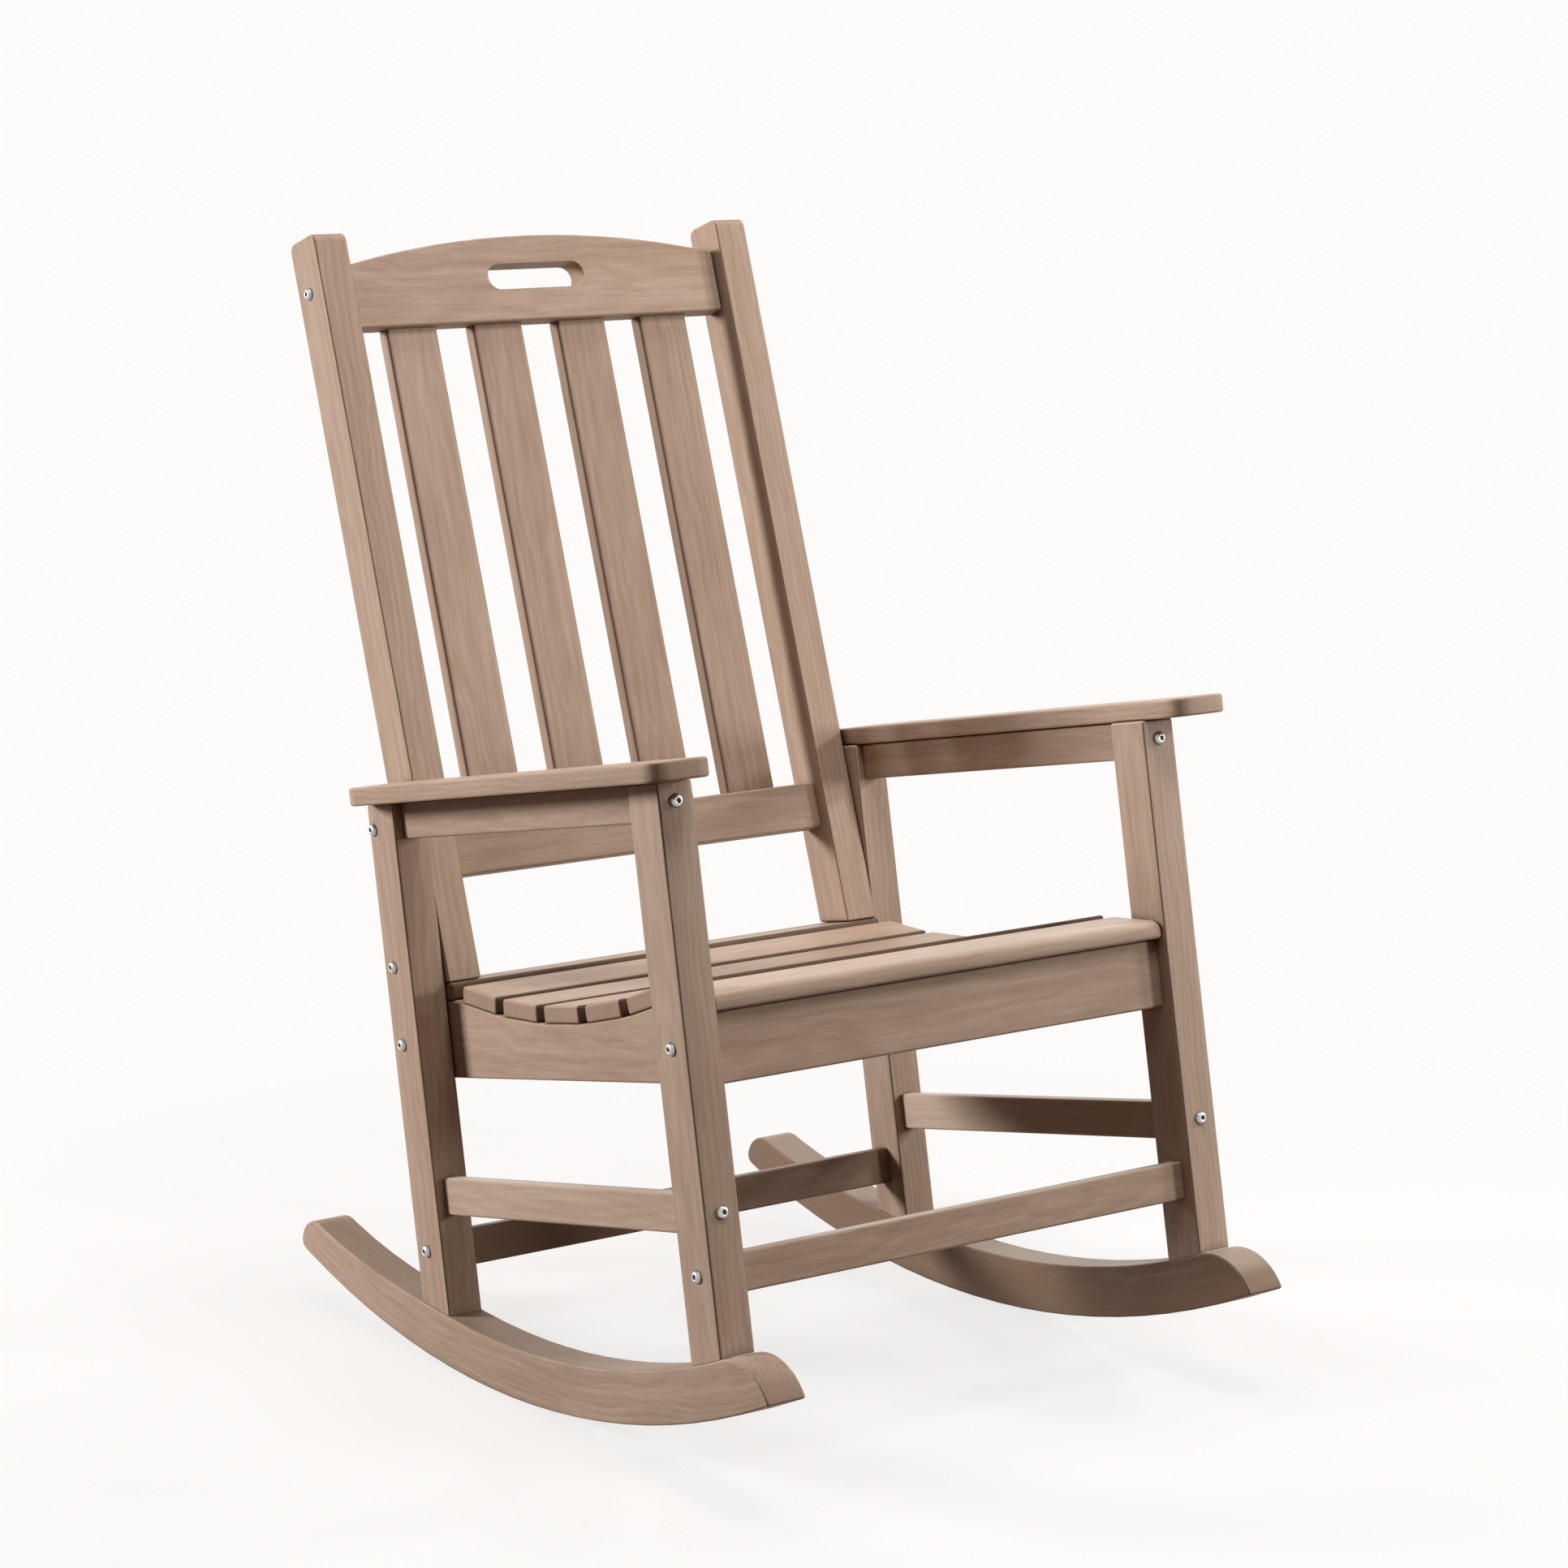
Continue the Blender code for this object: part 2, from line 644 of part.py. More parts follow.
def side_bolts():
    """The bolts through the outer faces of the legs, into what meets their inner faces."""
    front_y = FRONT_RAIL_SET + BOARD_T / 2
    rear_y = REAR_LEG_Y + REAR_RAIL_SET + BOARD_T / 2
    front_stretch_y = FRONT_STRETCHER_SET + BOARD_T / 2
    rear_stretch_y = REAR_LEG_Y + REAR_STRETCHER_SET + BOARD_T / 2
    rail_z, stretch_z = SEAT_RAIL_Z + SEAT_BOLT_UP, CROSS_STRETCHER_Z + STRETCHER_BOLT_LIFT
    upper = (REAR_LEG_Y + UPPER_POST_BOLT_IN, LEG_TOP - UPPER_POST_BOLT_DROP)
    lower = (REAR_LEG_Y + LOWER_POST_BOLT_IN, post_foot_z() + LOWER_POST_BOLT_UP)
    places = (
        ("front_seat_rail", "front_leg", "seat_front_rail", front_y, rail_z),
        ("rear_seat_rail", "rear_leg", "seat_rear_rail", rear_y, rail_z),
        ("front_stretcher", "front_leg", "front_stretcher", front_stretch_y, stretch_z),
        ("rear_stretcher", "rear_leg", "rear_stretcher", rear_stretch_y, stretch_z),
        ("upper_post", "rear_leg", "back_post", *upper),
        ("lower_post", "rear_leg", "back_post", *lower),
    )
    objects = bpy.data.objects
    for side, sign in SIDES.items():
        for place, leg, other, y, z in places:
            target = objects.get(other) or objects[f"{other}_{side}"]
            seat = (sign * LEG_SPAN / 2, y, z)
            boards = (objects[f"{leg}_{side}"], target)
            bolt(f"bolt_{place}_{side}", CHAIR, seat, (-sign, 0, 0), LEG_W + BOLT_BITE, boards)


def end_bolts():
    """The bolts through the front and rear faces of the legs, into the ends of the side boards."""
    objects = bpy.data.objects
    rear_face = REAR_LEG_Y + LEG_D
    rail_z, stretch_z = LEG_TOP - RAIL_H / 2, SIDE_STRETCHER_Z + STRETCHER_BOLT_LIFT
    places = (
        ("front", "arm_rail", 0, rail_z),
        ("front", "side_stretcher", 0, stretch_z),
        ("rear", "arm_rail", rear_face, LEG_TOP - REAR_ARM_BOLT_DROP),
        ("rear", "side_stretcher", rear_face, stretch_z),
    )
    for side, sign in SIDES.items():
        for end, other, face, z in places:
            boards = (objects[f"{end}_leg_{side}"], objects[f"{other}_{side}"])
            inward = (0, 1 if end == "front" else -1, 0)
            seat = (sign * LEG_X, face, z)
            bolt(f"bolt_{end}_{other}_{side}", CHAIR, seat, inward, LEG_D + BOLT_BITE, boards)


def crest_bolts(frame, crest, posts):
    middle = BACK_RAIL_SET + BACK_RAIL_T / 2
    for side, sign in SIDES.items():
        seat = (sign * (POST_X + POST_W / 2), middle, CREST_LOW + CREST_BOLT_UP)
        bolt(f"bolt_crest_{side}", frame, seat, (-sign, 0, 0), POST_W + BOLT_BITE, (posts[side], crest))


def rocker_bolts():
    """The bolts up through the rockers into the feet of the legs, their heads sunk in counterbores."""
    objects = bpy.data.objects
    top = rocker_top()
    for side, sign in SIDES.items():
        rocker = objects[f"rocker_{side}"]
        for end, front in (("front", 0), ("rear", REAR_LEG_Y)):
            y = front + LEG_D / 2
            seat_z = rocker_point(rolling_angle(y), 0)[1] + SCREW_SINK
            length = height_on(top, y) - seat_z + SCREW_BITE
            name = f"bolt_{end}_rocker_{side}"
            boards = (rocker, objects[f"{end}_leg_{side}"])
            place = bolt(name, CHAIR, (sign * LEG_X, y, seat_z), (0, 0, 1), length, boards)
            rings = [ring(BOLT_HEAD_R + BORE_MARGIN, 0), ring(BOLT_HEAD_R + BORE_MARGIN, 2 * SCREW_SINK)]
            sink = as_cutter(add_object(f"sink_{name}", loft_mesh(f"sink_{name}", rings), place))
            cut_from(rocker, sink)


def set_on_floor():
    """Moves everything so that the middle of the chair's box is over the origin and the floor is z = 0."""
    bpy.context.view_layer.update()
    solids = [obj for obj in bpy.data.objects if not obj.hide_render]
    points = [obj.matrix_world @ vertex.co for obj in solids for vertex in obj.data.vertices]
    lows = [min(point[i] for point in points) for i in range(3)]
    highs = [max(point[i] for point in points) for i in range(3)]
    shift = Vector(((lows[0] + highs[0]) / 2, (lows[1] + highs[1]) / 2, lows[2]))
    for obj in bpy.data.objects:
        obj.location -= shift


def build():
    clear_scene()
    rockers()
    legs()
    armrests()
    frame_boards()
    seat_rails()
    seat_slats()
    frame = back_frame()
    posts = back_posts(frame)
    crest = crest_rail(frame)
    rail = lower_rail(frame, posts)
    back_slats(frame, crest, rail)
    side_bolts()
    end_bolts()
    crest_bolts(frame, crest, posts)
    rocker_bolts()
    set_on_floor()


build()
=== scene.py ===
import math
import random

import bmesh
import bpy
from mathutils import Matrix, Vector


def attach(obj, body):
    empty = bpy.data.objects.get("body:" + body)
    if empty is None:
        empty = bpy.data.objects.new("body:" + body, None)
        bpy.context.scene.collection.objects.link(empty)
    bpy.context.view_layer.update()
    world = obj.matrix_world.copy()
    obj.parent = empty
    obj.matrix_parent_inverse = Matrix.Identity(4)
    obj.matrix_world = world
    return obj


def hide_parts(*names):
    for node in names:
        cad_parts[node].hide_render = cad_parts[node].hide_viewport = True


# How the chair stands, as its solids do: the lean of the whole chair and the extra lean of its back
REST_LEAN = math.radians(11)
BACK_LEAN = math.radians(7.7)

# Rockers: radius of the rolling circle, half the angle of one chord, height, and a length past both ends
ROCK_R = 1.115
HALF_CHORD = math.radians(1)
ROCKER_H = 0.051
ROCKER_REACH = 1.0

# Lean of the seat slats in degrees, from the rear forward: a step for each slat round the dish
SLAT_PITCH = 0.0747
DISH_R = 0.8
NOSE_LEAN = 4.5
DISH_STEP = math.degrees(SLAT_PITCH / DISH_R)
SLAT_LEANS = (0, 2 * DISH_STEP, DISH_STEP, 0, -DISH_STEP, -2 * DISH_STEP, NOSE_LEAN)

# Bolts
SIDES = 48
HEAD_R = 0.0065
HEAD_H = 0.0038
SHANK_R = 0.003
SHANK_LIP = 0.0004
SOCKET_R = 0.0025
SOCKET_DEPTH = 0.0024
SOCKET_FLARE = 1.1
SOCKET_LIP = 0.0003
SOCKET_TIP_R = 0.35 * SOCKET_R
SOCKET_TIP = 0.0004

# A bolt head's outline from its foot up, as shares of its radius and height
DOME = (
    (1.0, 0.0), (1.0, 0.08), (0.93, 0.10), (0.92, 0.26), (0.89, 0.45),
    (0.82, 0.66), (0.72, 0.83), (0.6, 0.94), (0.5, 1.0),
)

# The dark spans between a bolt's rings, painted shade: the rim at the head's foot, and the socket at the
# end of the list
RIM_SHADE_SPANS = (3, 4)
SOCKET_SHADE_SPANS = 3

# How a bolt's axis is found: reach of its tip in shank radii, and steps of the fit
TIP_REACH = 2.2
AXIS_STEPS = 3

# Colours, linear
WOOD_DARK = (0.264, 0.175, 0.121)
WOOD_MID = (0.428, 0.308, 0.229)
WOOD_PALE = (0.586, 0.456, 0.360)
# Pale colour of the painted highlight on level tops
TOP_HIGHLIGHT_COLOUR = (0.80, 0.70, 0.60)
# Colour of the painted shade in joints, gaps, slat sides and upright edges
PAINTED_SHADE_COLOUR = (0.085, 0.046, 0.028)
STEEL = (0.53, 0.515, 0.50)
BACKDROP = (0.982, 0.967, 0.950)
FLOOR_LIT = (0.86, 0.85, 0.84)
FLOOR_BOUNCE = (0.14, 0.085, 0.060)
WORLD_GLOW = (1, 0.56, 0.38)

# Boards that are paler or darker than the rest: some by their own tone, some by painted shade
# (rear_stretcher, rocker_right, seat_slat_1) and some by painted light (side_stretcher_right,
# armrest_right, seat_slat_7)
TONES_AND_PAINTED_LIGHT = {
    "side_stretcher_left": 0.22,
    "side_stretcher_right": 0.44,
    "front_leg_left": 0.08,
    "front_leg_right": 0.18,
    "rocker_left": 0.02,
    "armrest_right": 0.12,
    "back_slat_1": 0.08,
    "back_slat_3": -0.08,
    "back_slat_4": -0.14,
    "rear_stretcher": -0.54,
    "rocker_right": -0.55,
    "seat_slat_1": -0.25,
    "seat_slat_7": 0.10,
}
TONE_CHANCE = 0.03

# Painted shade on the narrow sides, where they face into the gaps: the front ones of the seat slats and the
# left ones of the back slats
SIDE_PAINTED_SHADE = {
    "seat_slat_1": 0.75,
    **{f"seat_slat_{i}": 0.92 for i in range(2, 7)},
    "seat_slat_7": 0.25,
    "back_slat_1": 0.22,
    "back_slat_2": 0.17,
    "back_slat_3": 0.28,
    "back_slat_4": 0.37,
}
SIDE_DEPTH = (0.0005, 0.0045)

# Painted shade on the upright rounded edges, where they turn away from the lamps: its share, less on the
# armrests, and the normals that count as such an edge
EDGE_PAINTED_SHADE = 0.80
ARM_EDGE_PAINTED_SHADE = 0.30
EDGE_FOLD = (0.43, 0.495)
EDGE_UPRIGHT = (0.30, 0.50)

# Painted shade in joints and gaps, darker where a place is closed in: its share, and how closed in a place
# is
GAP_PAINTED_SHADE = 0.85
GAP_REACH = 0.022
GAP_SAMPLES = 6
GAP_RANGE = (0.25, 0.72)

# Painted highlight on the level tops, paler as if more light fell there, and how level a top is
TOP_PAINTED_HIGHLIGHT = {
    "side_stretcher_left": 0.7,
    "side_stretcher_right": 0.5,
    "front_stretcher": 0.5,
    "rocker_right": 0.3,
    "seat_slat_7": 0.2,
}
TOP_LEVEL = (0.75, 0.95)

# Wear along the edges: how ragged and how wide it is, where it falls and how much it shows
EDGE_RAGGED = 0.0022
EDGE_WIDTH = (0.0004, 0.0024)
RUB_RANGE = (0.45, 0.70)
RUB_SHARE = (0.02, 0.22)

# Grain: scales of each noise along, over and through a board
WIDE_SCALE = (7, 16, 16)
SHORT_SCALE = (26, 50, 50)
FINE_SCALE = (17, 640, 640)
STREAK_SCALE = (6, 190, 190)
BAND_SCALE = (2.2, 46, 46)
CLOUD_SCALE = (6, 11, 11)
PALE_SCALE = (20, 520, 520)
PORE_SCALE = (46, 1100, 1100)

# Grain: how far it wanders in metres, and how much each layer shifts the tone
WIDE_SWAY = 0.020
SHORT_SWAY = 0.0026
FINE_TONE = 0.16
STREAK_TONE = 0.16
BAND_TONE = 0.12
RING_TONE = 0.055
PALE_TONE = 0.10
PORE_TONE = -0.12
CLOUD_TONE = 0.26

# Growth rings: width, rise along the board, and where their heart lies
RING_WIDTH = 0.0058
RING_RISE = 0.022
HEART_SPREAD = 0.05
HEART_DEPTH = 0.03
SEED_REACH = 8

# Cut ends: how far a face turns along the board, the streaks lost there and the shift of tone
END_RANGE = (0.55, 0.85)
END_LOSS = -0.75
END_TONE = -0.20

# Surface of the wood
WOOD_ROUGH = 0.42
ROUGH_STREAK = 0.16
ROUGH_WORN = -0.08
WOOD_SPECULAR = 0.10
HEIGHT_FINE = 0.6
HEIGHT_STREAK = 0.4
HEIGHT_PORE = -0.35
WOOD_BUMP = (0.35, 0.0004)

# Surface of the bolts
STEEL_ROUGH = 0.36
SOCKET_ROUGH = 0.5
SOCKET_PAINTED_SHADE = 0.22
STEEL_DULL = 0.72
HAZE_SCALE = (220, 220, 220)
HAZE_RANGE = (0.35, 0.75)
BRUSH_SCALE = (900, 900, 2500)
BRUSH_ROUGH = 0.18
STEEL_BUMP = (0.15, 0.0001)

# Smooth shading of the solids: weld distance, angle of one flat face and angle of a square edge
WELD_REACH = 2e-6
FLAT_ANGLE = math.radians(0.3)
SQUARE_ANGLE = math.radians(55)

# Floor: half its width, its depth below the chair, the share of shadow and where that fades out
FLOOR_HALF = 9
FLOOR_DROP = 0.0006
FLOOR_SHADOW = 0.2
FLOOR_FADE = (0.7, 1.4)
WORLD_STRENGTH = 0.08

# Lamps: name, azimuth and elevation in degrees, power in watts, width and distance in metres
LAMPS = (
    ("left", -128, 12.5, 161, 0.9, 4.0),
    ("behind", 144, 9, 24, 3.0, 4.0),
    ("right_low", 45, 10, 21.5, 0.35, 2.6),
    ("right", 65, 24, 25.5, 0.35, 2.6),
    ("front_top", 0, 65, 26, 0.8, 2.6),
    ("rear_top", 180, 78, 24.5, 0.8, 2.6),
)
LAMP_AIM = (0, 0, 0.5)

# Camera
CAMERA_AT = (-2.37090, -3.35288, 1.32313)
CAMERA_AIM = (0.08001, 0.06677, 0.54639)
CAMERA_ROLL = math.radians(0.07)
LENS = 97.98
SENSOR = 36.0

# Seeds of the random draws
BOARD_SEED = 7
BOLT_SEED = 11


class Graph:
    """Adds nodes to a shader tree; an input is another node's socket or a plain value."""

    def __init__(self, tree):
        self.tree = tree

    def add(self, kind, settings=None, **inputs):
        """A new node; its inputs go by name, or as i0, i1, i2 by place."""
        made = self.tree.nodes.new("ShaderNode" + kind)
        for name, value in (settings or {}).items():
            setattr(made, name, value)
        for key, value in inputs.items():
            where = made.inputs[int(key[1:])] if key[1:].isdigit() else made.inputs[key]
            if isinstance(value, bpy.types.NodeSocket):
                self.tree.links.new(value, where)
            else:
                where.default_value = value
        return made

    def math(self, how, first, second=0.0, third=0.0):
        return self.add("Math", {"operation": how}, i0=first, i1=second, i2=third).outputs[0]

    def around(self, value, amount, base=None):
        """Base plus a value from 0 to 1 times an amount, where the middle value adds nothing."""
        start = -amount / 2 if base is None else self.math("ADD", base, -amount / 2)
        return self.math("MULTIPLY_ADD", value, amount, start)

    def vector(self, how, first, second=(0, 0, 0)):
        made = self.add("VectorMath", {"operation": how}, i0=first, i1=second)
        return made.outputs["Value" if how in ("LENGTH", "DOT_PRODUCT") else "Vector"]

    def join(self, x, y, z):
        return self.add("CombineXYZ", X=x, Y=y, Z=z).outputs[0]

    def split(self, vector):
        return self.add("SeparateXYZ", Vector=vector).outputs

    def noise(self, vector, scales, detail=2.0, roughness=0.5):
        """Noise with its own scale along each axis, from 0 to 1."""
        stretched = self.vector("MULTIPLY", vector, scales)
        made = self.add("TexNoise", Vector=stretched, Scale=1.0, Detail=detail, Roughness=roughness)
        return made.outputs["Fac"]

    def spread(self, value, low, high, to_low=0.0, to_high=1.0):
        """A smooth step from one value at low to another at high."""
        made = self.add("MapRange", {"interpolation_type": "SMOOTHSTEP"})
        self.tree.links.new(value, made.inputs["Value"])
        for name, number in zip(("From Min", "From Max", "To Min", "To Max"), (low, high, to_low, to_high)):
            made.inputs[name].default_value = number
        return made.outputs[0]

    def mix(self, factor, first, second):
        made = self.add("Mix", {"data_type": "RGBA"})
        for name, value in (("Factor_Float", factor), ("A_Color", first), ("B_Color", second)):
            where = next(socket for socket in made.inputs if socket.identifier == name)
            if isinstance(value, bpy.types.NodeSocket):
                self.tree.links.new(value, where)
            else:
                where.default_value = (*value, 1)
        return next(socket for socket in made.outputs if socket.identifier == "Result_Color")

    def bump(self, height, strength, distance):
        return self.add("Bump", Height=height, Strength=strength, Distance=distance).outputs[0]

    def showing(self):
        """1 for the rays that show the backdrop: straight from the camera, reflected or through glass."""
        rays = self.add("LightPath").outputs
        mirrored = self.math("MAXIMUM", rays["Is Glossy Ray"], rays["Is Transmission Ray"])
        return self.math("MAXIMUM", rays["Is Camera Ray"], mirrored)


def grain_group():
    """Wood grain in a board's own coordinates: x along the board, y over its width, z through it."""
    tree = bpy.data.node_groups.new("board_grain", "ShaderNodeTree")
    face = tree.interface
    inputs = [(name, "Vector") for name in ("Local", "Half", "Seed", "Axis")]
    inputs += [(name, "Float") for name in ("Tone", "Side_painted_shade", "Edge_painted_shade", "Top_painted_highlight")]
    for name, kind in inputs:
        face.new_socket(name, in_out="INPUT", socket_type="NodeSocket" + kind)
    for name, kind in (("Color", "Color"), ("Roughness", "Float"), ("Height", "Float")):
        face.new_socket(name, in_out="OUTPUT", socket_type="NodeSocket" + kind)
    graph = Graph(tree)
    given = tree.nodes.new("NodeGroupInput").outputs
    local, half, seed, axis, tone, side_painted_shade, edge_painted_shade, top_painted_highlight = (given[name] for name, _ in inputs)
    place = graph.vector("ADD", local, seed)

    # The grain wanders from side to side, widely and in short waves
    wide = graph.around(graph.noise(place, WIDE_SCALE, detail=1), WIDE_SWAY)
    short = graph.around(graph.noise(place, SHORT_SCALE, detail=1), SHORT_SWAY)
    sway = graph.math("ADD", wide, short)
    flow = graph.vector("ADD", place, graph.join(0.0, sway, sway))

    fine = graph.noise(flow, FINE_SCALE, detail=3, roughness=0.6)
    streak = graph.noise(flow, STREAK_SCALE, detail=2.5, roughness=0.55)
    band = graph.noise(flow, BAND_SCALE, detail=2)
    cloud = graph.noise(place, CLOUD_SCALE, detail=2)
    pale = graph.spread(graph.noise(flow, PALE_SCALE, detail=1), 0.62, 0.80)
    pores = graph.spread(graph.noise(flow, PORE_SCALE, detail=1), 0.66, 0.80)

    # Growth rings round a heart outside the board
    x, y, z = graph.split(local)
    _, seed_y, seed_z = graph.split(seed)
    heart_y = graph.math("ADD", y, graph.around(graph.math("FRACT", seed_y), HEART_SPREAD))
    deep = graph.math("MULTIPLY_ADD", graph.math("FRACT", seed_z), HEART_SPREAD, HEART_DEPTH)
    reach = graph.vector("LENGTH", graph.join(0.0, heart_y, graph.math("ADD", z, deep)))
    rise = graph.math("MULTIPLY_ADD", x, RING_RISE, sway)
    turn = graph.math("MULTIPLY", graph.math("ADD", reach, rise), 2 * math.pi / RING_WIDTH)
    ring = graph.math("SINE", turn)

    shade = graph.around(graph.spread(fine, 0.3, 0.7), FINE_TONE)
    shade = graph.around(graph.spread(streak, 0.28, 0.72), STREAK_TONE, shade)
    shade = graph.around(graph.spread(band, 0.3, 0.7), BAND_TONE, shade)
    shade = graph.math("MULTIPLY_ADD", ring, RING_TONE, shade)
    shade = graph.math("MULTIPLY_ADD", pale, PALE_TONE, shade)
    shade = graph.math("MULTIPLY_ADD", pores, PORE_TONE, shade)

    # Cut ends show few streaks
    normal = graph.add("NewGeometry").outputs["Normal"]
    facing = graph.math("ABSOLUTE", graph.vector("DOT_PRODUCT", normal, axis))
    end = graph.spread(facing, *END_RANGE)
    kept = graph.math("MULTIPLY_ADD", end, END_LOSS, 1.0)
    shade = graph.math("MULTIPLY_ADD", shade, kept, graph.math("MULTIPLY", end, END_TONE))
    shade = graph.math("ADD", shade, graph.around(cloud, CLOUD_TONE))

    level = graph.math("ADD", graph.math("ADD", shade, 0.5), tone)
    ramp = graph.add("ValToRGB", Fac=level).outputs[0]
    stops = ramp.node.color_ramp.elements
    stops[0].position, stops[0].color = 0.0, (*WOOD_DARK, 1)
    stops[1].position, stops[1].color = 1.0, (*WOOD_PALE, 1)
    middle = stops.new(0.5)
    middle.color = (*WOOD_MID, 1)

    # Wear pales the edges, by their distance, and a painted highlight pales the level tops
    to_face = graph.vector("SUBTRACT", half, graph.vector("ABSOLUTE", local))
    dx, dy, dz = graph.split(to_face)
    least = graph.math("MINIMUM", graph.math("MINIMUM", dx, dy), dz)
    most = graph.math("MAXIMUM", graph.math("MAXIMUM", dx, dy), dz)
    total = graph.math("ADD", graph.math("ADD", dx, dy), dz)
    to_edge = graph.math("SUBTRACT", graph.math("SUBTRACT", total, least), most)
    near = graph.math("ADD", to_edge, graph.math("MULTIPLY", streak, EDGE_RAGGED))
    worn = graph.spread(near, *EDGE_WIDTH, 1.0, 0.0)
    rubbed = graph.math("MULTIPLY", worn, graph.spread(cloud, *RUB_RANGE, *RUB_SHARE))
    colour = graph.mix(rubbed, ramp, WOOD_PALE)
    normal_x, normal_y, normal_z = graph.split(normal)
    # Painted highlight: level tops turn paler
    up = graph.spread(normal_z, *TOP_LEVEL)
    colour = graph.mix(graph.math("MULTIPLY", up, top_painted_highlight), colour, TOP_HIGHLIGHT_COLOUR)

    # Painted shade darkens the joints, the gaps between boards, the slats' sides and the upright edges
    open_air = graph.add("AmbientOcclusion", {"samples": GAP_SAMPLES}, Distance=GAP_REACH).outputs["AO"]
    colour = graph.mix(graph.spread(open_air, *GAP_RANGE, GAP_PAINTED_SHADE, 0.0), colour, PAINTED_SHADE_COLOUR)
    # Painted shade on the slats' narrow sides
    side = graph.spread(graph.math("ADD", y, graph.split(half)[1]), *SIDE_DEPTH, 1.0, 0.0)
    colour = graph.mix(graph.math("MULTIPLY", side, side_painted_shade), colour, PAINTED_SHADE_COLOUR)
    # Painted shade on upright rounded edges, darkest where the normal points between the lamps
    across = graph.vector("LENGTH", graph.join(0.0, normal_y, normal_z))
    fold = graph.spread(graph.math("MULTIPLY", graph.math("ABSOLUTE", normal_x), across), *EDGE_FOLD)
    upright = graph.spread(graph.math("ABSOLUTE", normal_y), *EDGE_UPRIGHT)
    edge_shade = graph.math("MULTIPLY", graph.math("MULTIPLY", fold, upright), edge_painted_shade)
    colour = graph.mix(edge_shade, colour, PAINTED_SHADE_COLOUR)

    smoothed = graph.math("MULTIPLY_ADD", worn, ROUGH_WORN, WOOD_ROUGH)
    rough = graph.math("MULTIPLY_ADD", streak, ROUGH_STREAK, smoothed)
    low, high = graph.math("MULTIPLY", fine, HEIGHT_FINE), graph.math("MULTIPLY", streak, HEIGHT_STREAK)
    height = graph.math("MULTIPLY_ADD", pores, HEIGHT_PORE, graph.math("ADD", low, high))
    height = graph.math("MULTIPLY", height, kept)
    out = tree.nodes.new("NodeGroupOutput")
    for name, socket in (("Color", colour), ("Roughness", rough), ("Height", height)):
        tree.links.new(socket, out.inputs[name])
    return tree


def arc_group():
    """Coordinates along a rocker: x along its arc, y out from its middle height, z across it."""
    tree = bpy.data.node_groups.new("arc_local", "ShaderNodeTree")
    tree.interface.new_socket("Vector", in_out="INPUT", socket_type="NodeSocketVector")
    tree.interface.new_socket("Local", in_out="OUTPUT", socket_type="NodeSocketVector")
    graph = Graph(tree)
    x, y, z = graph.split(tree.nodes.new("NodeGroupInput").outputs[0])
    angle = graph.math("ARCTAN2", y, graph.math("MULTIPLY", z, -1.0))
    reach = graph.vector("LENGTH", graph.join(0.0, y, z))
    along = graph.math("MULTIPLY", angle, ROCK_R)
    local = graph.join(along, graph.math("SUBTRACT", reach, ROCK_R - ROCKER_H / 2), x)
    tree.links.new(local, tree.nodes.new("NodeGroupOutput").inputs[0])
    return tree


def board_axes(name):
    """The board's axes as columns: along it, over its width, through it; a rocker's are the chair's."""
    chair = Matrix.Rotation(-REST_LEAN, 3, "X")
    back = Matrix.Rotation(-REST_LEAN - BACK_LEAN, 3, "X")
    orders = (
        (("front_leg", "rear_leg"), chair, "zyx"),
        (("armrest",), chair, "yxz"),
        (("arm_rail", "side_stretcher", "seat_side_rail"), chair, "yzx"),
        (("seat_front_rail", "seat_rear_rail", "front_stretcher", "rear_stretcher"), chair, "xzy"),
        (("back_post",), back, "zyx"),
        (("crest_rail", "lower_back_rail"), back, "xzy"),
        (("back_slat",), back, "zxy"),
        (("rocker",), chair, "xyz"),
    )
    if name.startswith("seat_slat"):
        lean = math.radians(SLAT_LEANS[int(name[-1]) - 1])
        turn, order = Matrix.Rotation(lean - REST_LEAN, 3, "X"), "xyz"
    else:
        turn, order = next((turn, order) for names, turn, order in orders if name.startswith(names))
    columns = [turn.col["xyz".index(axis)].copy() for axis in order]
    if columns[0].cross(columns[1]).dot(columns[2]) < 0:
        columns[2].negate()
    return Matrix(columns).transposed()


def board_box(obj, axes):
    """The middle of the board's box in its own axes, in world coordinates, and the box's half sizes."""
    turned = axes.transposed()
    points = [turned @ vertex.co for vertex in obj.data.vertices]
    low = Vector([min(point[i] for point in points) for i in range(3)])
    high = Vector([max(point[i] for point in points) for i in range(3)])
    return axes @ ((low + high) / 2), (high - low) / 2


def rocker_middle(obj):
    """The centre of the rocker's rolling circle, above the chord that rests on the floor."""
    low = min(vertex.co.z for vertex in obj.data.vertices)
    flat = [vertex.co for vertex in obj.data.vertices if vertex.co.z - low < 1e-5]
    middle = sum(flat, Vector()) / len(flat)
    return Vector((middle.x, middle.y, low + ROCK_R * math.cos(HALF_CHORD)))


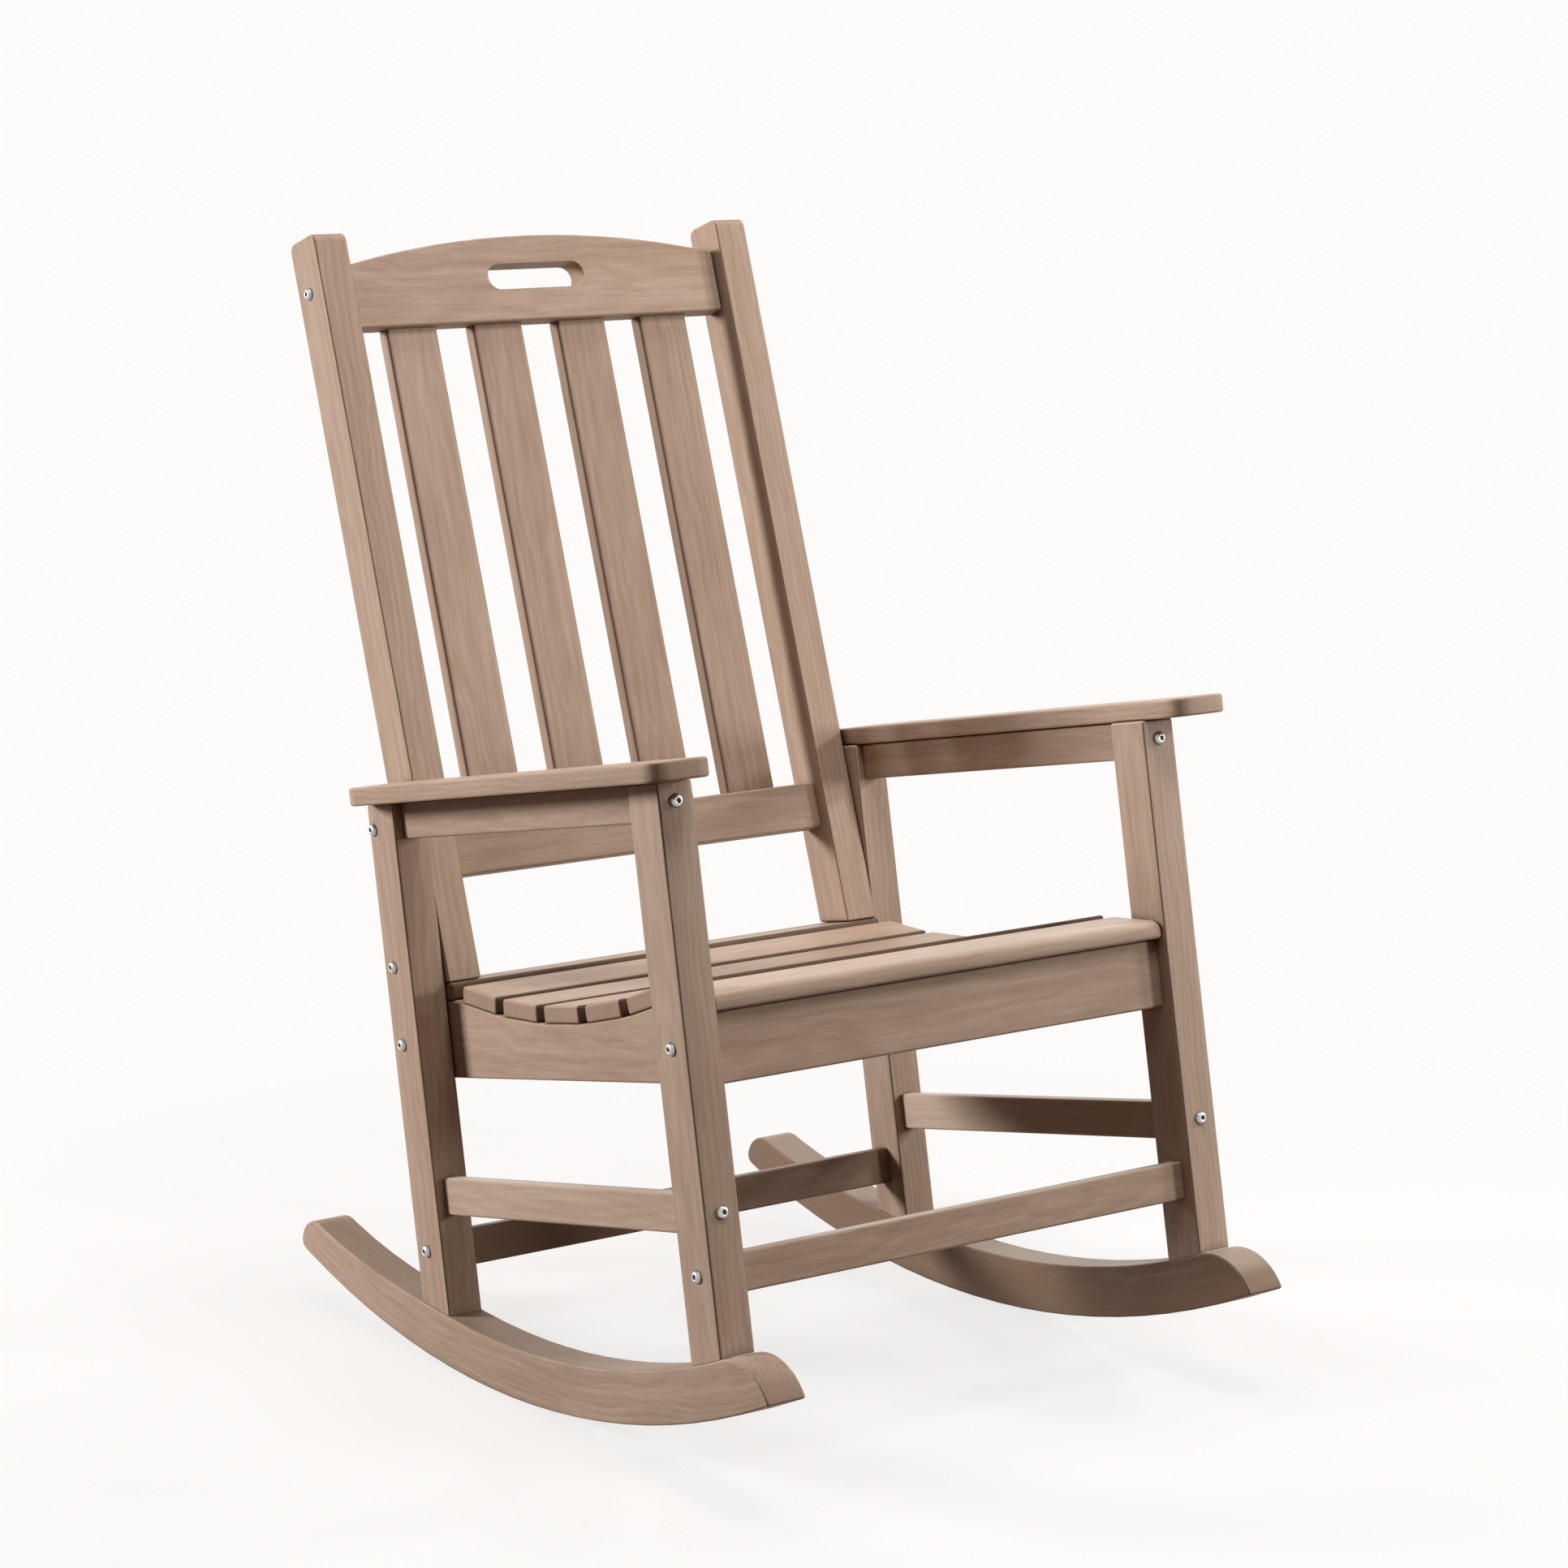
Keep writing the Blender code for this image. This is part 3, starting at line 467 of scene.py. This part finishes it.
def board_material(name, obj, grain, arc, chance):
    """Wood for one board, with grain along it, its own draw of grain and tone, and its painted shade and
    painted light.
    """
    made = bpy.data.materials.new(name + "_wood")
    made.use_nodes = True
    tree = made.node_tree
    graph = Graph(tree)
    shader = tree.nodes["Principled BSDF"]
    curved = name.startswith("rocker")
    axes = board_axes(name)
    middle, half = board_box(obj, axes)
    if curved:
        middle = rocker_middle(obj)
    place = graph.add("TexCoord").outputs["Object"]
    turned = graph.add("Mapping", {"vector_type": "TEXTURE"}, Vector=place)
    turned.inputs["Location"].default_value = middle
    turned.inputs["Rotation"].default_value = axes.to_euler()
    local = turned.outputs[0]
    if curved:
        local = graph.add("Group", {"node_tree": arc}, Vector=local).outputs[0]
        half = Vector((ROCKER_REACH, ROCKER_H / 2, half.x))
    wood = graph.add("Group", {"node_tree": grain}, Local=local)
    wood.inputs["Half"].default_value = half
    wood.inputs["Seed"].default_value = [chance.uniform(-SEED_REACH, SEED_REACH) for _ in range(3)]
    wood.inputs["Axis"].default_value = axes.col[1 if curved else 0]
    # Some boards' tones are painted shade or painted light
    wood.inputs["Tone"].default_value = TONES_AND_PAINTED_LIGHT.get(name, 0.0) + chance.uniform(-TONE_CHANCE, TONE_CHANCE)
    # Painted shade on the slats' sides and upright edges, and a painted highlight on level tops
    wood.inputs["Side_painted_shade"].default_value = SIDE_PAINTED_SHADE.get(name, 0.0)
    wood.inputs["Edge_painted_shade"].default_value = ARM_EDGE_PAINTED_SHADE if name.startswith("armrest") else EDGE_PAINTED_SHADE
    wood.inputs["Top_painted_highlight"].default_value = TOP_PAINTED_HIGHLIGHT.get(name, 0.0)
    for socket, where in (
        (wood.outputs["Color"], "Base Color"),
        (wood.outputs["Roughness"], "Roughness"),
        (graph.bump(wood.outputs["Height"], *WOOD_BUMP), "Normal"),
    ):
        tree.links.new(socket, shader.inputs[where])
    shader.inputs["Specular IOR Level"].default_value = WOOD_SPECULAR
    return made


def soften(obj):
    """Joins the loose triangles and shades rounded edges smooth, with flat faces and square edges kept."""
    weld = obj.modifiers.new("weld", "WELD")
    weld.merge_threshold = WELD_REACH
    merge = obj.modifiers.new("flat_faces", "DECIMATE")
    merge.decimate_type = "DISSOLVE"
    merge.angle_limit = FLAT_ANGLE
    split = obj.modifiers.new("square_edges", "EDGE_SPLIT")
    split.split_angle = SQUARE_ANGLE
    normals = obj.modifiers.new("normals", "WEIGHTED_NORMAL")
    normals.mode = "FACE_AREA_WITH_ANGLE"


def steel_material(name, colour, roughness):
    """Brushed metal with a slight haze."""
    made = bpy.data.materials.new(name)
    made.use_nodes = True
    graph = Graph(made.node_tree)
    shader = made.node_tree.nodes["Principled BSDF"]
    shader.inputs["Metallic"].default_value = 1.0
    place = graph.add("TexCoord").outputs["Object"]
    haze = graph.noise(place, HAZE_SCALE, detail=3)
    brushed = graph.noise(place, BRUSH_SCALE, detail=2)
    dull = tuple(STEEL_DULL * part for part in colour)
    for socket, where in (
        (graph.mix(graph.spread(haze, *HAZE_RANGE), colour, dull), "Base Color"),
        (graph.math("MULTIPLY_ADD", brushed, BRUSH_ROUGH, roughness - BRUSH_ROUGH / 2), "Roughness"),
        (graph.bump(brushed, *STEEL_BUMP), "Normal"),
    ):
        made.node_tree.links.new(socket, shader.inputs[where])
    return made


def circle(radius, z):
    turns = [2 * math.pi * i / SIDES for i in range(SIDES)]
    return [Vector((radius * math.cos(t), radius * math.sin(t), z)) for t in turns]


def hexagon(radius, z):
    """As many points as a circle has, on a hexagon of this corner radius."""
    points = []
    for point in circle(1, z):
        turn = math.atan2(point.y, point.x) % (math.pi / 3) - math.pi / 6
        reach = radius * math.cos(math.pi / 6) / math.cos(turn)
        points.append(Vector((point.x * reach, point.y * reach, z)))
    return points


def bolt_mesh(name, length):
    """A domed bolt with a hexagon socket: its head stands on z = 0 and its shank goes down."""
    bottom = HEAD_H - SOCKET_DEPTH
    rings = [circle(SHANK_R, z) for z in (-length, -SHANK_LIP, 0)]
    rings += [circle(HEAD_R * reach, HEAD_H * height) for reach, height in DOME]
    rings.append(hexagon(SOCKET_R * SOCKET_FLARE, HEAD_H))
    rings += [hexagon(SOCKET_R, z) for z in (HEAD_H - SOCKET_LIP, bottom)]
    rings.append(circle(SOCKET_TIP_R, bottom - SOCKET_TIP))
    bm = bmesh.new()
    rows = [[bm.verts.new(point) for point in points] for points in rings]
    bm.faces.new(reversed(rows[0]))
    # The socket's bottom, the rim and the socket walls take the darkened steel: painted shade
    bm.faces.new(rows[-1]).material_index = 1
    for k, (low, high) in enumerate(zip(rows, rows[1:])):
        painted_shade_span = k in RIM_SHADE_SPANS or k >= len(rows) - SOCKET_SHADE_SPANS
        for i in range(SIDES):
            j = (i + 1) % SIDES
            face = bm.faces.new((low[i], low[j], high[j], high[i]))
            face.smooth = True
            face.material_index = 1 if painted_shade_span else 0
    mesh = bpy.data.meshes.new(name)
    bm.to_mesh(mesh)
    bm.free()
    return mesh


def bolt_place(obj):
    """The seat of a bolt's head and its axis out of the head, from its solid, and its shank's length."""
    points = [vertex.co for vertex in obj.data.vertices]
    middle = sum(points, Vector()) / len(points)
    far = max(points, key=lambda point: (point - middle).length)
    shank = [point for point in points if (point - far).length < TIP_REACH * SHANK_R]
    tip = sum(shank, Vector()) / len(shank)
    axis = (middle - tip).normalized()
    for _ in range(AXIS_STEPS):
        axis_points = [tip + axis * (point - tip).dot(axis) for point in points]
        drift = sum((p - q for p, q in zip(points, axis_points)), Vector()) / len(points)
        reach = sum((point - tip).dot(axis) for point in points) / len(points)
        axis = (axis * reach + drift).normalized()
    top = max((point - tip).dot(axis) for point in points)
    seat = tip + axis * (top - HEAD_H)
    return seat, axis, top - HEAD_H


def fine_bolts(nodes, chance):
    """A finer bolt in the place of each bolt solid, its socket turned at random."""
    bright = steel_material("bolt_steel", STEEL, STEEL_ROUGH)
    # Steel darkened as painted shade, for the rim at the head's foot and the socket
    deep = steel_material("bolt_socket_painted_shade", tuple(SOCKET_PAINTED_SHADE * part for part in STEEL), SOCKET_ROUGH)
    for name in sorted(nodes):
        if not name.startswith("bolt"):
            continue
        seat, axis, length = bolt_place(nodes[name])
        mesh = bolt_mesh(name + "_fine", length)
        mesh.materials.append(bright)
        mesh.materials.append(deep)
        made = bpy.data.objects.new(name + "_fine", mesh)
        spin = Matrix.Rotation(chance.uniform(0, math.pi / 3), 4, "Z")
        turn = axis.to_track_quat("Z", "Y").to_matrix().to_4x4()
        made.matrix_world = Matrix.Translation(seat) @ turn @ spin
        bpy.context.scene.collection.objects.link(made)
        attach(made, "root")
        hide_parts(name)


def dress_boards(nodes, chance):
    """Wood and smooth shading for each board solid."""
    grain, arc = grain_group(), arc_group()
    for name in sorted(nodes):
        if name.startswith("bolt"):
            continue
        obj = nodes[name]
        obj.data.materials.clear()
        obj.data.materials.append(board_material(name, obj, grain, arc, chance))
        soften(obj)


def backdrop_material():
    """White with the chair's faint shadow, and dim and warm in the light that it sends back."""
    made = bpy.data.materials.new("backdrop")
    made.use_nodes = True
    tree = made.node_tree
    tree.nodes.clear()
    graph = Graph(tree)
    away = graph.vector("LENGTH", graph.add("TexCoord").outputs["Object"])
    share = graph.spread(away, *FLOOR_FADE, FLOOR_SHADOW, 0.0)
    glow = graph.add("Emission", Color=(*BACKDROP, 1), Strength=1.0).outputs[0]
    lit = graph.add("BsdfDiffuse", Color=(*FLOOR_LIT, 1)).outputs[0]
    shaded = graph.add("MixShader", i0=share, i1=glow, i2=lit).outputs[0]
    bounce = graph.add("BsdfDiffuse", Color=(*FLOOR_BOUNCE, 1)).outputs[0]
    mixed = graph.add("MixShader", i0=graph.showing(), i1=bounce, i2=shaded).outputs[0]
    graph.add("OutputMaterial", Surface=mixed)
    return made


def add_floor():
    mesh = bpy.data.meshes.new("floor")
    corners = [(x * FLOOR_HALF, y * FLOOR_HALF, 0) for x, y in ((-1, -1), (1, -1), (1, 1), (-1, 1))]
    mesh.from_pydata(corners, [], [(0, 1, 2, 3)])
    mesh.materials.append(backdrop_material())
    floor = bpy.data.objects.new("floor", mesh)
    floor.location.z = -FLOOR_DROP
    bpy.context.scene.collection.objects.link(floor)


def add_world():
    """A dim warm glow all round that shows as the white backdrop."""
    world = bpy.data.worlds.new("studio")
    world.use_nodes = True
    tree = world.node_tree
    graph = Graph(tree)
    shine = tree.nodes["Background"]
    shine.inputs["Color"].default_value = (*WORLD_GLOW, 1)
    shine.inputs["Strength"].default_value = WORLD_STRENGTH
    white = graph.add("Background", Color=(*BACKDROP, 1), Strength=1.0).outputs[0]
    mixed = graph.add("MixShader", i0=graph.showing(), i1=shine.outputs[0], i2=white).outputs[0]
    tree.links.new(mixed, tree.nodes["World Output"].inputs["Surface"])
    bpy.context.scene.world = world


def add_lamp(name, azimuth, elevation, energy, size, distance):
    """A square soft lamp on a sphere round the chair; azimuth 0 is in front of it."""
    a, e = math.radians(azimuth), math.radians(elevation)
    away = Vector((math.sin(a) * math.cos(e), -math.cos(a) * math.cos(e), math.sin(e)))
    lamp = bpy.data.lights.new(name, "AREA")
    lamp.energy = energy
    lamp.size = size
    made = bpy.data.objects.new(name, lamp)
    made.location = Vector(LAMP_AIM) + away * distance
    made.rotation_euler = away.to_track_quat("Z", "Y").to_euler()
    made.visible_camera = False
    bpy.context.scene.collection.objects.link(made)


def add_camera():
    data = bpy.data.cameras.new("camera")
    data.lens = LENS
    data.sensor_width = SENSOR
    camera = bpy.data.objects.new("camera", data)
    camera.location = CAMERA_AT
    look = (Vector(CAMERA_AIM) - Vector(CAMERA_AT)).to_track_quat("-Z", "Y")
    camera.rotation_euler = (look.to_matrix() @ Matrix.Rotation(CAMERA_ROLL, 3, "Z")).to_euler()
    bpy.context.scene.collection.objects.link(camera)
    bpy.context.scene.camera = camera


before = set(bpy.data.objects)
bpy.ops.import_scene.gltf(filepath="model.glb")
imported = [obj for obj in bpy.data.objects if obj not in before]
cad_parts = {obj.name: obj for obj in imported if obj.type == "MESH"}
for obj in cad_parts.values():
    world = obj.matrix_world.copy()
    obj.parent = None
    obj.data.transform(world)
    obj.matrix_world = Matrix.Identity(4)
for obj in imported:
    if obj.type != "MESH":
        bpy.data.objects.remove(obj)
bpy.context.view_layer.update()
bpy.context.scene.view_settings.view_transform = "Standard"
dress_boards(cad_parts, random.Random(BOARD_SEED))
fine_bolts(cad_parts, random.Random(BOLT_SEED))
add_floor()
add_world()
for lamp_values in LAMPS:
    add_lamp(*lamp_values)
add_camera()
